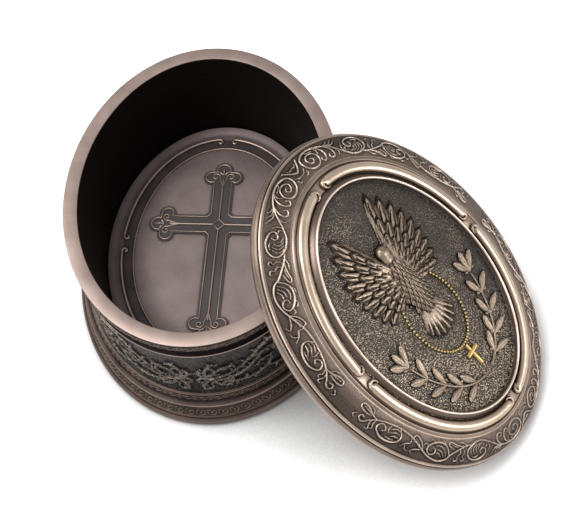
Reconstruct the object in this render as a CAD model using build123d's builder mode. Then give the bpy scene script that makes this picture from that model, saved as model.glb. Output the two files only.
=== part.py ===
from build123d import *
import math
import os

os.makedirs("parts", exist_ok=True)

# An oval keepsake box of cold-cast bronze, with its lid taken off and leaned on the rim.
# Millimetres. Origin: centre of the base on the table, +Y along the box, +Z up.
# Every moulding is an oval held a given inset inside the rim oval; a negative
# inset stands outside the rim.

# ---- Driving dimensions: box -------------------------------------------------
step = 0.3                  # height of the small slopes between mouldings
rim_length = 100.0          # rim oval, outside, along Y
rim_width = 78.8            # rim oval, outside, along X
box_height = 46.0           # table to rim
rim_wall = 4.1              # flat top of the rim
wall_draft = 1.5            # how much thicker the wall is at the floor plate
floor_level = 11.5          # table to the flat of the floor plate

fascia_height = 0.8         # plain edge below the rim
leaf_band_height = 2.3      # narrow band of small leaves
leaf_band_inset = 0.3
neck_height = 1.3           # groove under the leaf band
neck_inset = 1.4
collar_height = 1.3         # thin fillet over the frieze
collar_inset = 0.5
frieze_inset = 0.9          # carved frieze, at the middle of its relief

lip_height = 3.3            # brass-coloured lip at the bottom of the foot
lip_overhang = 4.8
lip_bevel = 0.7             # under the lip
lip_rounding = 0.3          # over the lip
flare_height = 4.1          # sloping band over the lip
flare_top_overhang = 2.0
torus_height = 2.8          # round moulding over the sloping band
torus_overhang = 2.6
dark_band_height = 2.4      # plain dark band over the round moulding
dark_band_overhang = 0.3
dark_band_batter = 0.6      # how much further out its lower edge stands
line_height = 0.9           # thin line under the frieze
line_overhang = 0.5

foot_clearance = 0.5        # the felt stands this much proud of the cast foot
felt_thickness = 1.5
felt_inset = 3.0            # felt edge inside the rim oval

# ---- Driving dimensions: floor plate and its cross ---------------------------
glue_gap = 0.05             # round each cast insert
plate_thickness = 3.0
plate_edge_height = 1.2     # dished edge over the flat
plate_edge_width = 2.9
border_inset = 9.8          # thick border line of the floor, from the rim oval
border_width = 1.1
border_height = 0.55
border_gap = 5.2            # between two lines' ends, at each end of both axes

cross_centre = 7.5          # crossing of the cross, ahead of the box's centre
cross_head = 23.2           # crossing to the tip of each arm
cross_side = 22.1
cross_foot = 40.2
arm_width = 7.0
lobe_radius = 2.6           # the three lobes that end each arm
lobe_spread = 3.8
lobe_back = 5.6             # side lobes behind the tip
tip_lobe_radius = 2.9
cross_thickness = 0.35
outline_width = 0.6         # raised line along the cross's edge
outline_height = 0.35
cross_rib_width = 0.9       # rib down the middle of each arm
crossing_size = 3.0         # lozenge at the crossing, along each side
crossing_bevel = 1.6        # how far a square set over the crossing outgrows the arms

# ---- Driving dimensions: lid -------------------------------------------------
lid_overhang = 2.5          # largest outline of the lid, outside the rim oval
lid_edge_inset = 1.0        # underside edge inside that outline
lid_roll_height = 4.1       # round outer moulding
lid_bead_height = 1.0       # thin bead over it
lid_bead_setback = 0.8      # bead inside the outline
vine_band_end = 5.6         # inner edge of the vine band, inside the rim oval
vine_band_rise = 2.9
cove_end = 7.4              # where the cove meets the flat seat of the ribs
cove_rise = 0.5
rib_inset = 9.0             # middle of the scrolled ribs
rib_width = 2.9
rib_height = 1.25
rib_gap = 7.4               # between the scrolled ends of two ribs
rib_boss = 1.4              # radius of those ends
plaque_inset = 10.6         # outer edge of the plaque
plaque_lip_rise = 1.9       # lip over the rib seat
plaque_lip_setback = 1.5
plaque_lip_width = 0.55
plaque_wall = 0.45          # slope from the lip down to the ground
plaque_depth = 1.9          # lip to ground
plaque_thickness = 2.6      # ground to its underside
plaque_ledge = 2.0          # width of the ledge that carries the plaque

locating_depth = 4.5        # lip under the lid that drops into the box
locating_clearance = 0.6
locating_wall = 2.0
lid_hollow_height = 4.4     # hollow of the lid, over its seat
lid_hollow_draft = 1.8      # how far its wall leans in

# ---- Driving dimensions: relief on the plaque --------------------------------
wing_feathers = 7
wing_margin = 4.8           # tip of the longest feather to the edge of the ground
wing_shortening = 0.42      # how much shorter the lowest feather is, as a share
wing_first_angle = 68.0     # top feather, from the plaque's X axis
wing_sweep = 82.0
wing_thickness = 0.45
covert_share = 0.52         # upper layer of short feathers, as a share of the long ones
covert_thickness = 0.8
feather_width = 3.8
shoulder_x = 2.2            # root of the top feather
shoulder_y = 11.0
wing_root = 6.0             # shoulder to the root of the lowest feather

dove_width = 7.0
dove_top = 14.5             # neck end of the body, over the plaque's centre
dove_bottom = -4.5          # tail end of the body
dove_thickness = 1.3
head_radius = 2.5
head_rise = 1.5             # centre of the head over the neck
beak_length = 2.4
tail_feathers = 5
tail_length = 11.0
tail_root = 3.0             # roots of the tail feathers, up into the body
tail_spread = 64.0

olive_margin = 6.9          # olive stems to the edge of the ground
olive_first_angle = -85.0
olive_sweep = 70.0
olive_leaves = 5            # pairs
first_leaf = 0.85           # root of the first pair, as a share of one space between pairs
leaf_length = 6.6
leaf_width = 2.6
leaf_angle = 36.0           # leaf to its stem
leaf_thickness = 0.5
stem_width = 0.8

swag_radius_x = 9.5         # oval that the string of beads follows
swag_radius_y = 13.0
swag_centre = -6.0
swag_opening = 112.0        # angle left open at its top, under the wings
bead_size = 1.0
pendant_length = 7.4
pendant_span = 4.8
pendant_crossing = 2.7      # top of the cross to the middle of its bar
pendant_bar = 1.2
pendant_thickness = 0.7

# ---- Driving dimensions: how the lid leans on the box ------------------------
lean_tilt = 37.8            # lid's face from the horizontal
lean_heading = -16.6        # way it tilts, from +X
lean_spin = 59.7            # lid's own turn
lean_side = -10.2           # lid's middle, to the side of that way
rest_gap = 0.3              # left between the lid and the rim

# ---- Shares that shape the crowned lines and the feathers ----------------------
crown_shoulder = 0.26       # shoulder of a raised line, as a share of its width
blade_edge = ((0.22, 0.75), (0.5, 1.0), (0.8, 0.66))   # along a leaf, and its width there
vine_band_bulge = 0.6       # rise already made in the middle of the vine band


def oval_radii(inset):
    """The X and Y radii of the oval that lies the given inset inside the rim oval."""
    return rim_width / 2 - inset, rim_length / 2 - inset


def oval_at(inset, height, on=Plane.XY):
    """An oval face that lies the given inset inside the rim oval, at a height over a plane."""
    with BuildSketch(on.offset(height)) as section:
        Ellipse(*oval_radii(inset))
    return section.sketch


def ovals(profile, on=Plane.XY):
    """One oval face for each (inset, height) of a moulding's profile."""
    return [oval_at(inset, height, on) for inset, height in profile]


# ---- Profiles of the box, from the table up ----------------------------------
lip_top = lip_height
flare_top = lip_top + flare_height
torus_top = flare_top + torus_height
dark_band_top = torus_top + dark_band_height
frieze_bottom = dark_band_top + line_height
leaf_band_top = box_height - fascia_height
leaf_band_bottom = leaf_band_top - leaf_band_height
neck_bottom = leaf_band_bottom - neck_height
frieze_top = neck_bottom - collar_height

box_profile = [
    (-lip_overhang + lip_bevel, foot_clearance),
    (-lip_overhang, foot_clearance + lip_bevel),
    (-lip_overhang + lip_rounding, lip_top),
    (-flare_top_overhang, flare_top),
    (-torus_overhang, flare_top + torus_height / 4),
    (-torus_overhang, torus_top - torus_height / 4),
    (-dark_band_overhang - dark_band_batter, torus_top),
    (-dark_band_overhang, dark_band_top),
    (-line_overhang, frieze_bottom - step),
    (frieze_inset, frieze_bottom + step),
    (frieze_inset, frieze_top - step),
    (collar_inset, frieze_top),
    (collar_inset, neck_bottom - step),
    (neck_inset, neck_bottom),
    (neck_inset, leaf_band_bottom - step),
    (leaf_band_inset, leaf_band_bottom),
    (leaf_band_inset, leaf_band_top - step),
    (0, leaf_band_top),
    (0, box_height),
]

wall_inset = rim_wall + wall_draft              # inside of the wall at the floor plate
plate_top = floor_level + plate_edge_height
plate_bottom = floor_level - plate_thickness

# ---- Box: one casting, wall and foot -----------------------------------------
with BuildPart() as box_body:
    loft(ovals(box_profile), ruled=True)
    loft(
        ovals([
            (wall_inset, plate_bottom),
            (wall_inset, plate_top),
            (rim_wall, box_height),
        ]),
        ruled=True,
        mode=Mode.SUBTRACT,
    )
    with BuildSketch(Plane.XY):
        Ellipse(*oval_radii(felt_inset))
    extrude(amount=felt_thickness, mode=Mode.SUBTRACT)

# ---- Felt under the foot -------------------------------------------------------
with BuildPart() as base_felt:
    with BuildSketch(Plane.XY):
        Ellipse(*oval_radii(felt_inset + glue_gap))
    extrude(amount=felt_thickness)

# ---- Floor plate: dished oval casting set in the bottom of the box -------------
with BuildPart() as floor_plate:
    loft(
        ovals([
            (wall_inset + glue_gap, plate_bottom),
            (wall_inset + glue_gap, plate_top),
        ]),
        ruled=True,
    )
    loft(
        ovals([
            (wall_inset + plate_edge_width, floor_level),
            (wall_inset + 3 * step, plate_top),
        ]),
        ruled=True,
        mode=Mode.SUBTRACT,
    )


def ridge(path, position, width, height, seat):
    """A low section across a path with sloping sides, its wide side on the seat plane."""
    heading = path % position
    across = Plane(path @ position, x_dir=seat.z_dir.cross(heading), z_dir=heading)
    with BuildSketch(across) as section:
        with BuildLine():
            Polyline(
                (-width / 2, 0), (-crown_shoulder * width, height),
                (crown_shoulder * width, height), (width / 2, 0), close=True,
            )
        make_face()
    return section.sketch


def gap_angle(radius, gap):
    """Angle that a gap takes at one end of an oval's axis, in degrees."""
    return math.degrees(math.asin(gap / 2 / radius))


def quarter_arc(quarter, inset, gap, on):
    """The oval's arc between two of the gaps at the ends of its axes."""
    x_radius, y_radius = oval_radii(inset)
    near_x = gap_angle(y_radius, gap)
    near_y = gap_angle(x_radius, gap)
    if quarter % 2:
        near_x, near_y = near_y, near_x
    with BuildLine(on) as arc:
        EllipticalCenterArc(
            (0, 0), x_radius, y_radius, 90 * quarter + near_x, arc_size=90 - near_x - near_y
        )
    return arc.line.edge()


# ---- Border of the floor: four raised lines ------------------------------------
floor_seat = Plane.XY.offset(floor_level)
floor_borders = []
for quarter in range(4):
    run = quarter_arc(quarter, border_inset, border_gap, floor_seat)
    with BuildPart() as border:
        sweep(ridge(run, 0, border_width, border_height, floor_seat), path=run)
    floor_borders.append(border)


# ---- Cross of the floor: three round lobes on each arm, panels sunk beside the rib ----
cross_seat = Plane((0, cross_centre, floor_level))
with BuildPart() as floor_cross:
    with BuildSketch(cross_seat):
        for turn, reach in ((0, cross_head), (90, cross_side), (180, cross_foot), (270, cross_side)):
            knot = reach - lobe_back
            with Locations(Rotation(0, 0, turn)):
                with Locations((0, knot / 2)):
                    Rectangle(arm_width, knot)
                with Locations((-lobe_spread, knot), (lobe_spread, knot)):
                    Circle(lobe_radius)
                with Locations((0, reach - tip_lobe_radius)):
                    Circle(tip_lobe_radius)
        Rectangle(arm_width + crossing_bevel, arm_width + crossing_bevel, rotation=45)
    extrude(amount=cross_thickness + outline_height)
    with BuildSketch(cross_seat.offset(cross_thickness)):
        for turn, reach in ((0, cross_head), (90, cross_side), (180, cross_foot), (270, cross_side)):
            panel_width = (arm_width - cross_rib_width) / 2 - outline_width
            panel_length = reach - lobe_back - arm_width / 2
            panel_side = (cross_rib_width + panel_width) / 2
            with Locations(Rotation(0, 0, turn)):
                with Locations((-panel_side, reach - lobe_back), (panel_side, reach - lobe_back)):
                    Rectangle(panel_width, panel_length, align=(Align.CENTER, Align.MAX))
        Rectangle(crossing_size, crossing_size, rotation=45)
    extrude(amount=outline_height, mode=Mode.SUBTRACT)

# ---- Profiles of the lid, from its seat up -------------------------------------
outline_inset = -lid_overhang
roll_top = lid_roll_height
bead_top = roll_top + lid_bead_height
vine_top = bead_top + vine_band_rise
rib_seat = vine_top + cove_rise
plaque_lip_top = rib_seat + plaque_lip_rise
plaque_ground = plaque_lip_top - plaque_depth
plaque_underside = plaque_ground - plaque_thickness
plaque_lip_inset = plaque_inset + plaque_lip_setback
ground_inset = plaque_lip_inset + plaque_lip_width + plaque_wall
locating_outer = rim_wall + locating_clearance
locating_inner = locating_outer + locating_wall

lid_profile = [
    (outline_inset + lid_edge_inset, 0),
    (outline_inset, 0.27 * roll_top),
    (outline_inset, 0.73 * roll_top),
    (outline_inset + lid_bead_setback, roll_top),
    (outline_inset + lid_bead_setback, bead_top),
    ((vine_band_end + outline_inset) / 2, bead_top + vine_band_bulge * vine_band_rise),
    (vine_band_end, vine_top),
    (cove_end, rib_seat),
]


# ---- Lid's resting place: foot on the table, locating lip on the rim -----------
def lid_support(profile, toward):
    """How far the lid reaches below its own middle, in its leaning place."""
    tilt = math.radians(lean_tilt)
    reach = 0.0
    for inset, height in profile:
        x_radius, y_radius = oval_radii(inset)
        spread = math.hypot(x_radius * math.cos(toward), y_radius * math.sin(toward))
        reach = max(reach, spread * math.sin(tilt) - height * math.cos(tilt))
    return reach


def lid_plane_at(distance):
    """The lid's seat plane, with its middle this far from the box along the heading."""
    heading = Rotation(0, 0, lean_heading)
    turned = heading * Rotation(0, lean_tilt, 0) * Rotation(0, 0, lean_spin - lean_heading)
    height = lid_support(lid_profile, math.radians(lean_heading - lean_spin))
    place = heading * Pos(distance, lean_side, height)
    return Plane(Location(place.position) * turned)


def rim_clearance(distance):
    """Least height of the locating lip's lower edges over the flat of the rim."""
    seat = lid_plane_at(distance)
    least = box_height
    for inset in (locating_outer, locating_inner):
        x_radius, y_radius = oval_radii(inset)
        for turn in range(720):
            angle = math.radians(turn / 2)
            edge = Vector(x_radius * math.cos(angle), y_radius * math.sin(angle), -locating_depth)
            point = seat.from_local_coords(edge)
            outer_x, outer_y = oval_radii(0)
            inner_x, inner_y = oval_radii(rim_wall)
            inside = math.hypot(point.X / outer_x, point.Y / outer_y) < 1
            if inside and math.hypot(point.X / inner_x, point.Y / inner_y) > 1:
                least = min(least, point.Z - box_height)
    return least


near, far = 0.0, rim_length
for _ in range(24):
    middle = (near + far) / 2
    if rim_clearance(middle) < rest_gap:
        near = middle
    else:
        far = middle
lid_plane = lid_plane_at(far)


# ---- Lid: one casting, with its locating lip underneath -------------------------
with BuildPart() as lid_frame:
    loft(ovals(lid_profile, lid_plane), ruled=True)
    loft(
        ovals([
            (locating_outer + step, -locating_depth),
            (locating_outer, 0),
        ], lid_plane),
        ruled=True,
    )
    loft(
        ovals([
            (locating_inner, -locating_depth),
            (locating_inner + lid_hollow_draft, lid_hollow_height),
        ], lid_plane),
        ruled=True,
        mode=Mode.SUBTRACT,
    )
    with BuildSketch(lid_plane.offset(lid_hollow_height)):
        Ellipse(*oval_radii(plaque_inset + plaque_ledge))
    extrude(amount=rib_seat - lid_hollow_height, mode=Mode.SUBTRACT)
    with BuildSketch(lid_plane.offset(plaque_underside)):
        Ellipse(*oval_radii(plaque_inset))
    extrude(amount=rib_seat - plaque_underside, mode=Mode.SUBTRACT)

# ---- Plaque: oval casting dropped into the lid, with a raised lip ----------------
with BuildPart() as lid_plaque:
    loft(
        ovals([
            (plaque_inset + glue_gap, plaque_underside),
            (plaque_inset + glue_gap, rib_seat),
            (plaque_lip_inset, plaque_lip_top),
        ], lid_plane),
        ruled=True,
    )
    loft(
        ovals([
            (ground_inset, plaque_ground),
            (plaque_lip_inset + plaque_lip_width, plaque_lip_top),
        ], lid_plane),
        ruled=True,
        mode=Mode.SUBTRACT,
    )

# ---- Ribs of the lid: four scroll-ended bars round the plaque --------------------
rib_plane = lid_plane.offset(rib_seat)
lid_ribs = []
for quarter in range(4):
    bar = quarter_arc(quarter, rib_inset, rib_gap, rib_plane)
    with BuildPart() as rib:
        sweep(ridge(bar, 0, rib_width, rib_height, rib_plane), path=bar)
        with BuildSketch(rib_plane):
            with Locations(rib_plane.to_local_coords(bar @ 0), rib_plane.to_local_coords(bar @ 1)):
                Circle(rib_boss)
        extrude(amount=rib_height)
    lid_ribs.append(rib)


# ---- Dove on the plaque: body with tail fan and head, two wings -------------------
relief_plane = lid_plane.offset(plaque_ground)
mirror_plane = Plane(lid_plane.origin, x_dir=lid_plane.y_dir, z_dir=lid_plane.x_dir)


def reach_of_ground(x, y, heading):
    """Distance from a place on the plaque to the edge of its ground, along a heading."""
    x_radius, y_radius = oval_radii(ground_inset)
    turn = math.radians(heading)
    along = Vector(math.cos(turn) / x_radius, math.sin(turn) / y_radius)
    start = Vector(x / x_radius, y / y_radius)
    half = start.dot(along)
    return (math.sqrt(half**2 + along.dot(along) * (1 - start.dot(start))) - half) / along.dot(along)


def blade(length, width):
    """A pointed leaf or feather as a flat face, its root at the origin."""
    edge = [(share * length, wide * width / 2) for share, wide in blade_edge]
    with BuildSketch() as face:
        with BuildLine():
            Polyline((0, 0), *edge, (length, 0), *[(x, -y) for x, y in reversed(edge)], close=True)
        make_face()
    return face.sketch


wing_length = reach_of_ground(shoulder_x, shoulder_y, wing_first_angle) - wing_margin


def wing_fan(length, on):
    """Feathers of the right wing, fanned down from the shoulder, as one flat face."""
    with BuildSketch(on) as fan:
        for number in range(wing_feathers):
            share = number / (wing_feathers - 1)
            root = Pos(shoulder_x, shoulder_y - wing_root * share)
            turn = Rotation(0, 0, wing_first_angle - wing_sweep * share)
            add(root * turn * blade(length * (1 - wing_shortening * share), feather_width))
    return fan.sketch


with BuildPart() as dove_wing_right:
    extrude(wing_fan(wing_length, relief_plane), amount=wing_thickness)
    extrude(wing_fan(covert_share * wing_length, relief_plane), amount=covert_thickness)

with BuildPart() as dove_wing_left:
    add(dove_wing_right.part)
    mirror(about=mirror_plane, mode=Mode.REPLACE)

with BuildPart() as dove_body:
    with BuildSketch(relief_plane):
        for number in range(tail_feathers):
            share = number / (tail_feathers - 1) - 0.5
            add(Pos(0, dove_bottom + tail_root) * Rotation(0, 0, -90 + tail_spread * share)
                * blade(tail_length, feather_width))
    extrude(amount=wing_thickness)
    with BuildSketch(relief_plane):
        with Locations((0, (dove_top + dove_bottom) / 2)):
            Ellipse(dove_width / 2, (dove_top - dove_bottom) / 2)
        with Locations((0, dove_top + head_rise)):
            Circle(head_radius)
        with Locations((head_radius, dove_top + 1.6 * head_rise)):
            Triangle(a=beak_length, b=beak_length, C=60, rotation=-90)
    extrude(amount=dove_thickness)
    add([dove_wing_right.part, dove_wing_left.part], mode=Mode.SUBTRACT)

# ---- Olive sprays: curved stem with paired leaves, one each side -------------------
olive_x, olive_y = oval_radii(ground_inset + olive_margin)


def on_stem(share):
    """Place on the olive stem, turned along it, this share of the way up."""
    turn = math.radians(olive_first_angle + olive_sweep * share)
    along = math.atan2(olive_y * math.cos(turn), -olive_x * math.sin(turn))
    place = Pos(olive_x * math.cos(turn), olive_y * math.sin(turn))
    return place * Rotation(0, 0, math.degrees(along))


with BuildPart() as olive_spray_right:
    with BuildSketch(relief_plane):
        with BuildLine() as stem:
            EllipticalCenterArc(
                (0, 0), olive_x, olive_y, olive_first_angle, arc_size=olive_sweep
            )
        trace(stem.line, line_width=stem_width)
        for number in range(olive_leaves):
            root = on_stem((number + first_leaf) / olive_leaves)
            add(root * Rotation(0, 0, leaf_angle) * blade(leaf_length, leaf_width))
            add(root * Rotation(0, 0, -leaf_angle) * blade(leaf_length, leaf_width))
        add(root * blade(leaf_length, leaf_width))
    extrude(amount=leaf_thickness)

with BuildPart() as olive_spray_left:
    add(olive_spray_right.part)
    mirror(about=mirror_plane, mode=Mode.REPLACE)

# ---- String of beads that hangs below the wings, with a small cross -----------------
with BuildPart() as bead_swag:
    with BuildLine(relief_plane) as string:
        EllipticalCenterArc(
            (0, swag_centre), swag_radius_x, swag_radius_y,
            90 + swag_opening / 2, arc_size=360 - swag_opening,
        )
    sweep(ridge(string.line, 0, bead_size, bead_size / 2, relief_plane), path=string.line)

pendant_top = swag_centre - swag_radius_y - bead_size / 2 - glue_gap
with BuildPart() as pendant_cross:
    with BuildSketch(relief_plane):
        with Locations((0, pendant_top - pendant_length / 2)):
            Rectangle(pendant_bar, pendant_length)
        with Locations((0, pendant_top - pendant_crossing)):
            Rectangle(pendant_span, pendant_bar)
    extrude(amount=pendant_thickness)

# ---- Parts --------------------------------------------------------------------------
pieces = {
    "box_body": box_body,
    "base_felt": base_felt,
    "floor_plate": floor_plate,
    "floor_cross": floor_cross,
    "lid_frame": lid_frame,
    "lid_plaque": lid_plaque,
    "dove_body": dove_body,
    "dove_wing_left": dove_wing_left,
    "dove_wing_right": dove_wing_right,
    "olive_spray_left": olive_spray_left,
    "olive_spray_right": olive_spray_right,
    "bead_swag": bead_swag,
    "pendant_cross": pendant_cross,
}
for number in range(4):
    pieces[f"floor_border_{number + 1}"] = floor_borders[number]
    pieces[f"lid_rib_{number + 1}"] = lid_ribs[number]

for name, piece in pieces.items():
    piece.part.label = name
    export_step(piece.part, f"parts/{name}.step")
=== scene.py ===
import math

import bpy
import numpy as np
from mathutils import Matrix, Vector


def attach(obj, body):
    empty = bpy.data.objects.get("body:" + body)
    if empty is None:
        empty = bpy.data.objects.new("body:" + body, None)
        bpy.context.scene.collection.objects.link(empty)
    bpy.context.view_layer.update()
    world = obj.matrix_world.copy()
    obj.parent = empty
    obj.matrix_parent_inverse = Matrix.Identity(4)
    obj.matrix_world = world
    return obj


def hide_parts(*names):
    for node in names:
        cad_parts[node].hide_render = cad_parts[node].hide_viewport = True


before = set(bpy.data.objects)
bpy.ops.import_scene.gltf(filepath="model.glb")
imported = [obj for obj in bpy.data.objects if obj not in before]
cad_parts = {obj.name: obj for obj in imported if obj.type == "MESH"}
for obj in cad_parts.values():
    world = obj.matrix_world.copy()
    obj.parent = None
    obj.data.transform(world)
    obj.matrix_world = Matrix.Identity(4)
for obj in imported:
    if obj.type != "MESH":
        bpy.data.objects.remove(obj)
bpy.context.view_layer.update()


# ==== Wall and foot of the box =================================================
# The oval wall and its stepped foot are one casting of bronze powder in resin.
# It is drawn ring by ring as an oval moulding, from the felt's recess under the
# foot, out over the mouldings, across the flat rim and down inside the wall.
MM = 0.001
RIM_X, RIM_Y = 39.4, 50.0           # radii of the rim oval; insets are measured from it
FELT_INSET = 3.0
WALL_TOP, WALL_FOOT = 4.1, 5.6      # inset of the inside wall at the rim and at the floor
RIM_HEIGHT = 46.0


def oval_radii(inset):
    return RIM_X - inset, RIM_Y - inset


def soft_corners(profile, reach=0.22, steps=3):
    """Rounds the corners of an (inset, height) profile, each by a short curve."""
    points = [np.array(point, dtype=float) for point in profile]
    out = [points[0]]
    for before, corner, after in zip(points, points[1:], points[2:]):
        into, away = before - corner, after - corner
        cut = min(reach, 0.45 * np.linalg.norm(into), 0.45 * np.linalg.norm(away))
        start = corner + into / np.linalg.norm(into) * cut
        end = corner + away / np.linalg.norm(away) * cut
        for step in range(steps):
            share = step / (steps - 1)
            out.append((1 - share) ** 2 * start + 2 * share * (1 - share) * corner + share**2 * end)
    out.append(points[-1])
    return [tuple(point) for point in out]


def oval_casting(name, profile, capped, columns=288):
    """Draws a circle up ring by ring through a profile; capped at its ends, or joined in a loop."""
    bpy.ops.object.select_all(action="DESELECT")
    (inset, height), *rest = profile
    fill = "NGON" if capped else "NOTHING"
    bpy.ops.mesh.primitive_circle_add(vertices=columns, radius=1, fill_type=fill)
    piece = bpy.context.object
    piece.name = name
    bpy.ops.object.mode_set(mode="EDIT")
    bpy.ops.mesh.select_mode(type="FACE" if capped else "EDGE")
    bpy.ops.mesh.select_all(action="SELECT")
    x, y = oval_radii(inset)
    bpy.ops.transform.resize(value=(x * MM, y * MM, 1))
    bpy.ops.transform.translate(value=(0, 0, height * MM))
    for next_inset, next_height in rest:
        lift = {"value": (0, 0, (next_height - height) * MM)}
        if capped:
            bpy.ops.mesh.extrude_region_move(TRANSFORM_OT_translate=lift)
        else:
            bpy.ops.mesh.extrude_edges_move(TRANSFORM_OT_translate=lift)
        next_x, next_y = oval_radii(next_inset)
        bpy.ops.transform.resize(value=(next_x / x, next_y / y, 1))
        x, y, height = next_x, next_y, next_height
    bpy.ops.mesh.select_all(action="SELECT")
    bpy.ops.mesh.remove_doubles(threshold=0.002 * MM)
    bpy.ops.mesh.normals_make_consistent(inside=False)
    bpy.ops.object.mode_set(mode="OBJECT")
    bpy.ops.object.shade_smooth_by_angle(angle=math.radians(40))
    return piece


foot_profile = [
    (-3.9, 0.5), (-4.8, 1.3), (-4.8, 2.6), (-4.5, 3.1), (-4.1, 3.35), (-3.8, 3.3), (-3.75, 3.6),
    (-3.6, 3.9), (-3.3, 3.95), (-2.35, 7.6), (-2.1, 7.8),
]
ROLL_INSET, ROLL_HEIGHT, ROLL_RADIUS = -1.35, 9.1, 1.25     # the foot's round moulding
for turn in range(-60, 100, 20):
    across, up = ROLL_RADIUS * math.cos(math.radians(turn)), ROLL_RADIUS * math.sin(math.radians(turn))
    foot_profile.append((ROLL_INSET - across, ROLL_HEIGHT + up))
side_profile = [
    (-1.05, 10.45), (-0.25, 12.5), (-0.45, 12.65), (-0.55, 13.0), (-0.45, 13.35), (-0.1, 13.5),
    (0.4, 14.6), (0.95, 17.0), (1.2, 21.0), (1.2, 37.5), (0.55, 37.65), (0.4, 37.95), (0.42, 38.25),
    (0.65, 38.5), (1.5, 39.0), (1.5, 42.0), (0.3, 42.3), (0.3, 45.0), (0.0, 45.15), (0.0, RIM_HEIGHT),
    (WALL_TOP, RIM_HEIGHT), (WALL_TOP + 0.25, 45.2), (WALL_FOOT, 12.4), (WALL_FOOT, 8.5),
]
recess = [(FELT_INSET, 1.5), (FELT_INSET, 0.5)]
box_body = oval_casting(
    "box_wall_and_foot", soft_corners(recess + foot_profile + side_profile), capped=True
)
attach(box_body, "box")
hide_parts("box_body")


class Value:
    """A socket of a material that takes part in Python sums."""

    def __init__(self, paint, socket):
        self.paint = paint
        self.socket = socket

    def math(self, operation, first, second):
        return self.paint.node("ShaderNodeMath", {"operation": operation}, {0: first, 1: second})

    def __add__(self, other):
        return self.math("ADD", self, other)

    def __sub__(self, other):
        return self.math("SUBTRACT", self, other)

    def __rsub__(self, other):
        return self.math("SUBTRACT", other, self)

    def __mul__(self, other):
        return self.math("MULTIPLY", self, other)

    def __truediv__(self, other):
        return self.math("DIVIDE", self, other)

    def __pow__(self, other):
        return self.math("POWER", self, other)

    def __abs__(self):
        return self.math("ABSOLUTE", self, 0.0)

    def limited(self):
        """The same value, kept between 0 and 1."""
        return self.math("MINIMUM", self.math("MAXIMUM", self, 0.0), 1.0)

    __radd__ = __add__
    __rmul__ = __mul__


class Paint:
    """A material, or the studio's world, whose nodes are added and linked a line at a time."""

    def __init__(self, holder, shader="Principled BSDF", **shader_sockets):
        holder.use_nodes = True
        self.material = holder
        self.tree = holder.node_tree
        self.shader = self.tree.nodes[shader]
        self.feed(**shader_sockets)

    def node(self, kind, settings=None, inputs=None, output=0):
        made = self.tree.nodes.new(kind)
        for key, setting in (settings or {}).items():
            if key == "stops":
                ramp = made.color_ramp.elements
                while len(ramp) < len(setting):
                    ramp.new(0.5)
                for stop, (position, tint) in zip(ramp, setting):
                    stop.position, stop.color = position, tint
            else:
                setattr(made, key, setting)
        for key, given in (inputs or {}).items():
            self.join(made.inputs[key], given)
        return Value(self, made.outputs[output])

    def join(self, socket, given):
        if isinstance(given, Value):
            self.tree.links.new(given.socket, socket)
        else:
            socket.default_value = given

    def feed(self, **shader_sockets):
        for key, given in shader_sockets.items():
            self.join(self.shader.inputs[key.replace("_", " ").title()], given)

    def place(self):
        return self.node("ShaderNodeTexCoord", output="Object")

    def axes(self, place=None):
        """x, y and z of a place in millimetres, or of the point itself if none is given."""
        scaled = self.node(
            "ShaderNodeVectorMath", {"operation": "SCALE"}, {0: place or self.place(), "Scale": 1 / MM}
        )
        split = self.node("ShaderNodeSeparateXYZ", {}, {0: scaled})
        return [Value(self, axis) for axis in split.socket.node.outputs]

    def noise(self, size_mm, detail):
        """Noise whose spots are about size_mm wide."""
        return self.node(
            "ShaderNodeTexNoise", {},
            {"Vector": self.place(), "Scale": 1 / (size_mm * MM), "Detail": detail},
        )

    def ramp(self, amount, *stops):
        return self.node("ShaderNodeValToRGB", {"stops": stops}, {"Fac": amount})

    def mix(self, amount, low, high):
        return self.node(
            "ShaderNodeMix", {"data_type": "RGBA"}, {0: amount, 6: low, 7: high}, output=2
        )

    def bumped(self, height, depth_mm):
        return self.node("ShaderNodeBump", {}, {
            "Height": height, "Distance": depth_mm * MM, "Strength": 1.0,
        })


def colour(red, green, blue):
    """A colour written in 0 to 255 as a screen shows it, made linear."""
    shares = (red / 255, green / 255, blue / 255)
    return tuple(s / 12.92 if s <= 0.04045 else ((s + 0.055) / 1.055) ** 2.4 for s in shares) + (1.0,)


def patina_and_shade_in_recesses(paint, reach_mm):
    """1 in the open and falling to 0 in grooves and corners: patina stays there, and it also paints
    shade where less light reaches.
    """
    return paint.node(
        "ShaderNodeAmbientOcclusion", {"samples": 8}, {"Distance": reach_mm * MM}, output="AO"
    )


def bronze(name, dark, body, bright, worn, rough=0.42, grain_mm=0.25, grain_depth=0.012, speckle=0.18):
    """Cold-cast bronze: patina in the recesses, rubbed bright where worn is high; worn also carries
    painted shade and painted highlights.
    """
    paint = Paint(bpy.data.materials.new(name), metallic=0.9)
    cloud = paint.noise(9.0, 3.0)
    fine = paint.noise(grain_mm, 2.0)
    amount = (worn(paint) + (cloud - 0.5) * 0.30 + (fine - 0.5) * speckle).limited()
    shade = paint.ramp(amount, (0.0, dark), (0.5, body), (1.0, bright))
    paint.feed(
        base_color=shade,
        roughness=rough + 0.10 * (cloud - 0.5) + 0.16 * (1 - amount),
        normal=paint.bumped(fine, grain_depth),
    )
    return paint.material


def near(height, level, reach, steep=1.0):
    """1 where a height is at the level, falling to 0 at the reach from it."""
    return ((1 - abs(height - level) / reach) * steep).limited()


def lines_at(height, lines):
    """Several levels at once, each with its reach, how steeply it falls, and its strength."""
    return sum(near(height, *line) * strength for *line, strength in lines)


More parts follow.
